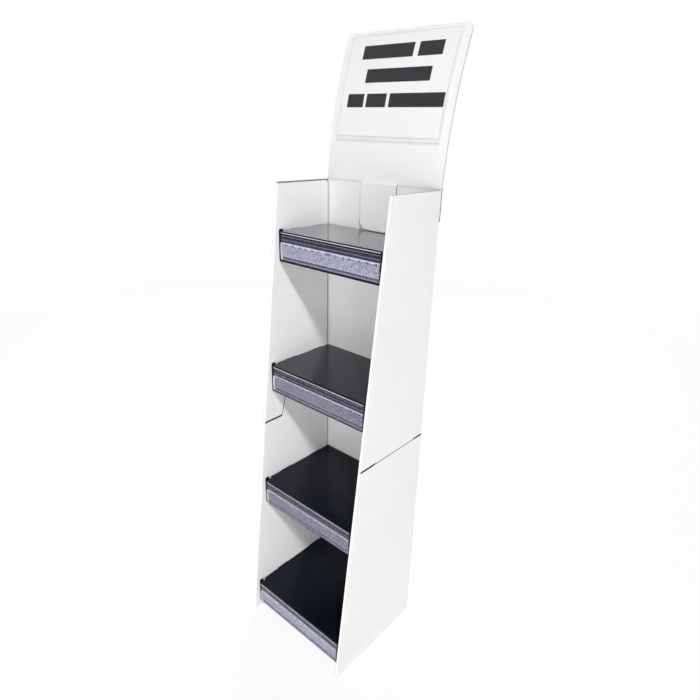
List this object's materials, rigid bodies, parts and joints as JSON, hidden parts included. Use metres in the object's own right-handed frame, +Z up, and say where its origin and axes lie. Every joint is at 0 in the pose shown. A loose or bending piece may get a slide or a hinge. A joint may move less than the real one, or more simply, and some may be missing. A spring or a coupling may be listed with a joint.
{
  "type": "cardboard display stand",
  "caption": "Free-standing cardboard display stand: sloped-front body of white folded board, black shelves with clear price strips, and a curved header card with a clear sign pocket.",
  "frame": {"origin": "on the floor, in the middle of the plan area that the stand and its header take up", "axes": "+Z up, the open front of the shelves faces -Y, +X to the right of someone who stands in front and looks at the shelves"},
  "size_m": [0.356, 0.4076, 1.6077],
  "materials": {
    "white_board": "white clay-coated face, satin, with brown raw edges",
    "black_board": "black laminated face, semi-gloss",
    "clear_plastic": "clear, glossy",
    "tape": "translucent double-sided tape, mottled",
    "paper": "plain white paper, matte"
  },
  "bodies": {
    "root": {"lower_body": "white_board", "upper_body": "white_board", "header_card": "white_board", "pocket_tape_low": "tape", "pocket_tape_high": "tape", "sign_pocket": "clear_plastic", "sign_insert": "paper", "shelf_1": "black_board", "shelf_2": "black_board", "shelf_3": "black_board", "shelf_4": "black_board", "strip_tape_1": "tape", "strip_tape_2": "tape", "strip_tape_3": "tape", "strip_tape_4": "tape", "price_strip_1": "clear_plastic", "price_strip_2": "clear_plastic", "price_strip_3": "clear_plastic", "price_strip_4": "clear_plastic"}
  },
  "joints": []
}
